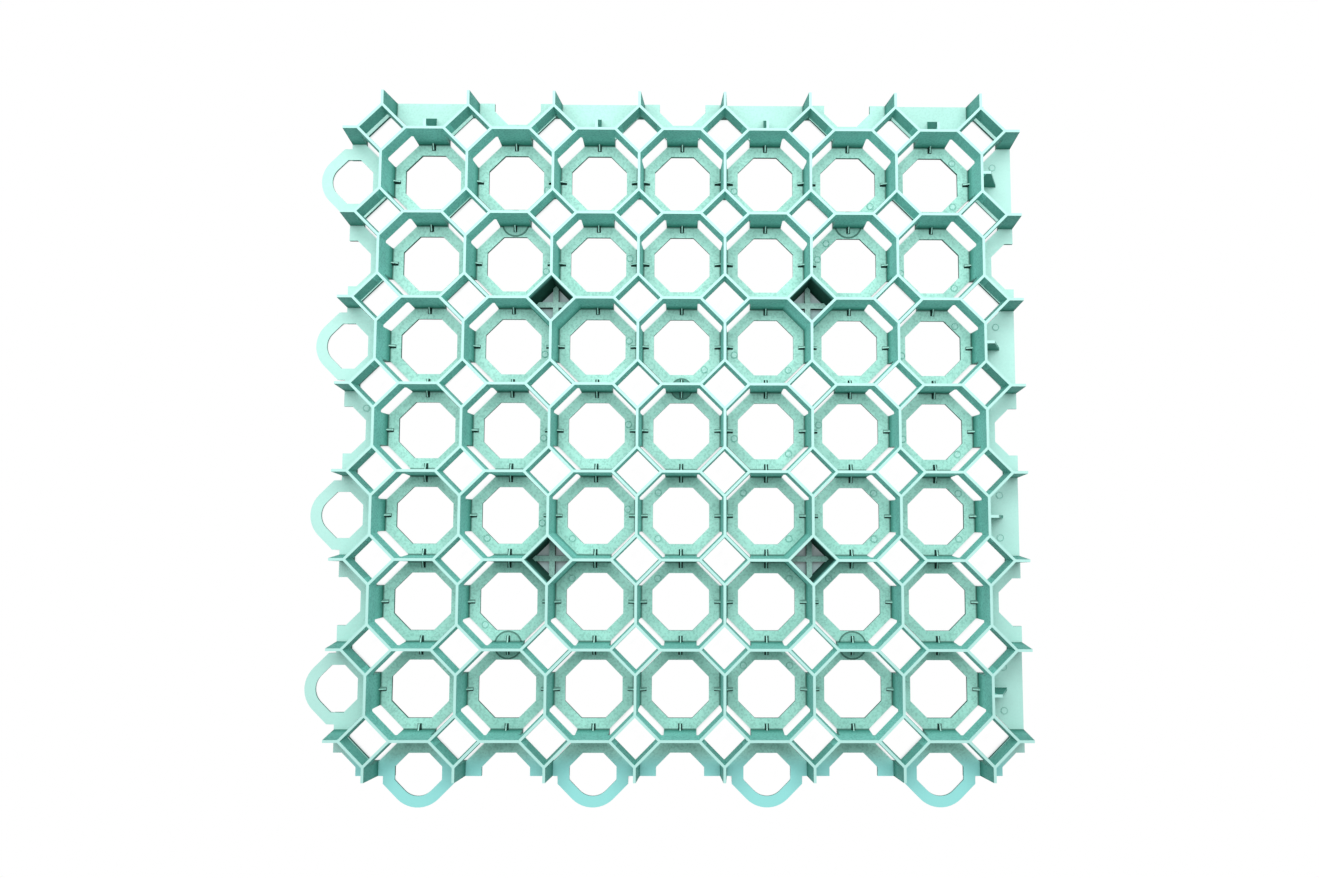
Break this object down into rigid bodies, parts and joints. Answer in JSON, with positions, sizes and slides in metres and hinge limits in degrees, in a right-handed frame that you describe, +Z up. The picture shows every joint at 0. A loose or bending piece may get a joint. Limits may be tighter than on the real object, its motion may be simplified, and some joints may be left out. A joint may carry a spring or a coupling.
{
  "type": "grass paver grid",
  "caption": "Square moulded plastic ground grid of octagonal cells between small square towers, with eyelets on two sides and ledges with catches on the other two.",
  "frame": {"origin": "middle of the bounding box, on the underside", "axes": "+Z up from the bedding, +X and +Y towards the two sides with ledges, -X and -Y towards the two sides with eyelets"},
  "size_m": [0.6657, 0.6657, 0.038],
  "materials": {
    "plastic": "satin moulded, mint green"
  },
  "bodies": {
    "root": {"paver_grid": "plastic"}
  },
  "joints": []
}
